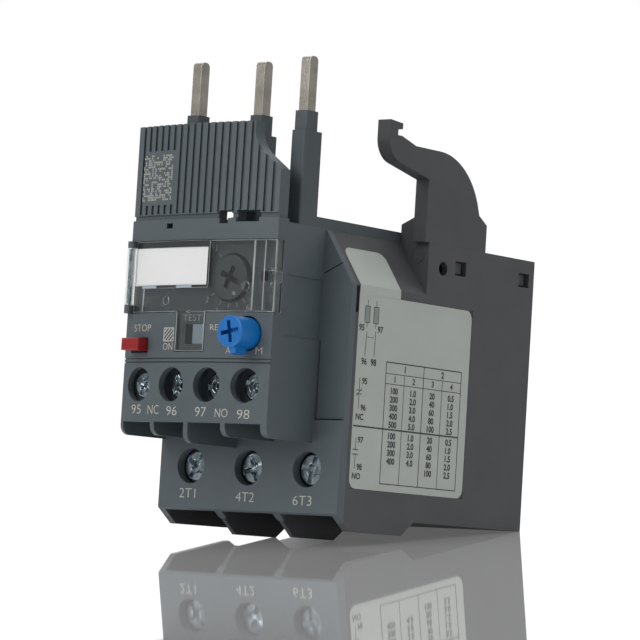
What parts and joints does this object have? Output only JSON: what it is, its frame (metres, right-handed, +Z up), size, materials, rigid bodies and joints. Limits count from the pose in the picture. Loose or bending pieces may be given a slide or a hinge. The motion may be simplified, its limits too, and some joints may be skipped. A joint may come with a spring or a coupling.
{
  "type": "thermal overload relay",
  "caption": "Three-pole thermal overload relay that plugs into a contactor, with a clear hinged cover over its setting dial, a stop button, a reset knob and screw clamps.",
  "frame": {"origin": "centre of the bounding box at its lowest level, which is the foot of the two middle barriers", "axes": "+Z up, along the contact pins; -Y out of the front with the dial and buttons; +X to the right when facing the front"},
  "size_m": [0.045, 0.0788, 0.0915],
  "materials": {
    "dark_plastic": "fine texture",
    "grey_plastic": "fine texture",
    "clear_plastic": "clear",
    "white_plastic": "satin",
    "dial_plastic": "satin",
    "red_plastic": "satin",
    "blue_plastic": "satin",
    "pale_plastic": "satin",
    "zinc_steel": "bright zinc",
    "nickel_copper": "nickel plated",
    "bare_copper": "plain",
    "strip_metal": "plain",
    "insulating_plastic": "plain"
  },
  "bodies": {
    "housing": {"main_housing": "dark_plastic", "front_housing": "grey_plastic", "rib_shroud": "grey_plastic", "top_cover": "dark_plastic", "mounting_hook": "dark_plastic", "cover_pin": "zinc_steel", "lever_pin": "zinc_steel", "works_frame": "strip_metal", "contact_pin_1": "nickel_copper", "main_bar_1": "bare_copper", "bimetal_1": "strip_metal", "heater_1": "strip_metal", "contact_pin_2": "nickel_copper", "main_bar_2": "bare_copper", "bimetal_2": "strip_metal", "heater_2": "strip_metal", "contact_pin_3": "nickel_copper", "main_bar_3": "bare_copper", "bimetal_3": "strip_metal", "heater_3": "strip_metal", "control_bar_1": "bare_copper", "control_bar_2": "bare_copper", "control_bar_3": "bare_copper", "control_bar_4": "bare_copper"},
    "cover": {"clear_cover": "clear_plastic", "marker_plate": "white_plastic"},
    "dial": {"setting_dial": "dial_plastic"},
    "stop": {"stop_button": "red_plastic"},
    "plunger": {"reset_plunger": "blue_plastic", "reset_spring": "zinc_steel"},
    "knob": {"reset_knob": "blue_plastic"},
    "test": {"test_slider": "pale_plastic"},
    "slide": {"slide_bar": "insulating_plastic"},
    "lever": {"trip_lever": "insulating_plastic"},
    "carrier": {"contact_carrier": "insulating_plastic", "nc_bridge": "bare_copper", "no_bridge": "bare_copper"},
    "main_screw_1": {"main_screw_1": "zinc_steel"},
    "main_clamp_1": {"main_clamp_1": "zinc_steel"},
    "main_screw_2": {"main_screw_2": "zinc_steel"},
    "main_clamp_2": {"main_clamp_2": "zinc_steel"},
    "main_screw_3": {"main_screw_3": "zinc_steel"},
    "main_clamp_3": {"main_clamp_3": "zinc_steel"},
    "control_screw_1": {"control_screw_1": "zinc_steel"},
    "control_clamp_1": {"control_clamp_1": "zinc_steel"},
    "control_screw_2": {"control_screw_2": "zinc_steel"},
    "control_clamp_2": {"control_clamp_2": "zinc_steel"},
    "control_screw_3": {"control_screw_3": "zinc_steel"},
    "control_clamp_3": {"control_clamp_3": "zinc_steel"},
    "control_screw_4": {"control_screw_4": "zinc_steel"},
    "control_clamp_4": {"control_clamp_4": "zinc_steel"}
  },
  "joints": [
    {"name": "cover_hinge", "type": "hinge", "parent": "housing", "child": "cover", "pos_m": [-0.0217, -0.03335, 0.0499], "axis": [0, 0, -1], "range_deg": [0, 110]},
    {"name": "dial_turn", "type": "hinge", "parent": "housing", "child": "dial", "pos_m": [0.004, -0.0328, 0.0483], "axis": [0, 1, 0], "range_deg": [0, 180]},
    {"name": "stop_push", "type": "slide", "parent": "housing", "child": "stop", "axis": [0, 1, 0], "range_m": [0, 0.0015], "stiffness_N_per_m": 250, "springref_m": -0.002},
    {"name": "reset_push", "type": "slide", "parent": "housing", "child": "plunger", "axis": [0, 1, 0], "range_m": [0, 0.0009], "stiffness_N_per_m": 250, "springref_m": -0.002},
    {"name": "reset_turn", "type": "hinge", "parent": "plunger", "child": "knob", "pos_m": [0.0097, -0.0358, 0.0375], "axis": [0, 1, 0], "range_deg": [-34, 56]},
    {"name": "test_slide", "type": "slide", "parent": "housing", "child": "test", "axis": [-1, 0, 0], "range_m": [0, 0.0016], "stiffness_N_per_m": 150, "springref_m": -0.001},
    {"name": "main_screw_turn_1", "type": "hinge", "parent": "housing", "child": "main_screw_1", "pos_m": [-0.0146, -0.0148, 0.0129], "axis": [0, 1, 0], "range_deg": [0, 2160]},
    {"name": "main_clamp_lift_1", "type": "slide", "parent": "housing", "child": "main_clamp_1", "axis": [0, -1, 0], "range_m": [0, 0.0042]},
    {"name": "main_screw_turn_2", "type": "hinge", "parent": "housing", "child": "main_screw_2", "pos_m": [0, -0.0148, 0.0129], "axis": [0, 1, 0], "range_deg": [0, 2160]},
    {"name": "main_clamp_lift_2", "type": "slide", "parent": "housing", "child": "main_clamp_2", "axis": [0, -1, 0], "range_m": [0, 0.0042]},
    {"name": "main_screw_turn_3", "type": "hinge", "parent": "housing", "child": "main_screw_3", "pos_m": [0.0146, -0.0148, 0.0129], "axis": [0, 1, 0], "range_deg": [0, 2160]},
    {"name": "main_clamp_lift_3", "type": "slide", "parent": "housing", "child": "main_clamp_3", "axis": [0, -1, 0], "range_m": [0, 0.0042]},
    {"name": "control_screw_turn_1", "type": "hinge", "parent": "housing", "child": "control_screw_1", "pos_m": [-0.01765, -0.0298, 0.0277], "axis": [0, 1, 0], "range_deg": [0, 1620]},
    {"name": "control_clamp_lift_1", "type": "slide", "parent": "housing", "child": "control_clamp_1", "axis": [0, -1, 0], "range_m": [0, 0.00225]},
    {"name": "control_screw_turn_2", "type": "hinge", "parent": "housing", "child": "control_screw_2", "pos_m": [-0.00845, -0.0298, 0.0277], "axis": [0, 1, 0], "range_deg": [0, 1620]},
    {"name": "control_clamp_lift_2", "type": "slide", "parent": "housing", "child": "control_clamp_2", "axis": [0, -1, 0], "range_m": [0, 0.00225]},
    {"name": "control_screw_turn_3", "type": "hinge", "parent": "housing", "child": "control_screw_3", "pos_m": [0.00075, -0.0298, 0.0277], "axis": [0, 1, 0], "range_deg": [0, 1620]},
    {"name": "control_clamp_lift_3", "type": "slide", "parent": "housing", "child": "control_clamp_3", "axis": [0, -1, 0], "range_m": [0, 0.00225]},
    {"name": "control_screw_turn_4", "type": "hinge", "parent": "housing", "child": "control_screw_4", "pos_m": [0.00995, -0.0298, 0.0277], "axis": [0, 1, 0], "range_deg": [0, 1620]},
    {"name": "control_clamp_lift_4", "type": "slide", "parent": "housing", "child": "control_clamp_4", "axis": [0, -1, 0], "range_m": [0, 0.00225]},
    {"name": "lever_swing", "type": "hinge", "parent": "housing", "child": "lever", "pos_m": [0, -0.0122, 0.042], "axis": [1, 0, 0], "range_deg": [0, 11.52]},
    {"name": "slide_shift", "type": "slide", "parent": "housing", "child": "slide", "axis": [0, -1, 0], "range_m": [0, 0.0012], "stiffness_N_per_m": 60, "springref_m": -0.0008},
    {"name": "carrier_shift", "type": "slide", "parent": "housing", "child": "carrier", "axis": [0, 1, 0], "range_m": [0, 0.0012]}
  ],
  "couplings": [
    {"joint": "main_screw_turn_1", "follows": "main_clamp_lift_1", "rad_per_m": 8976},
    {"joint": "main_screw_turn_2", "follows": "main_clamp_lift_2", "rad_per_m": 8976},
    {"joint": "main_screw_turn_3", "follows": "main_clamp_lift_3", "rad_per_m": 8976},
    {"joint": "control_screw_turn_1", "follows": "control_clamp_lift_1", "rad_per_m": 12566},
    {"joint": "control_screw_turn_2", "follows": "control_clamp_lift_2", "rad_per_m": 12566},
    {"joint": "control_screw_turn_3", "follows": "control_clamp_lift_3", "rad_per_m": 12566},
    {"joint": "control_screw_turn_4", "follows": "control_clamp_lift_4", "rad_per_m": 12566},
    {"joint": "lever_swing", "follows": "slide_shift", "rad_per_m": 167.3},
    {"joint": "carrier_shift", "follows": "slide_shift", "ratio": 1}
  ]
}
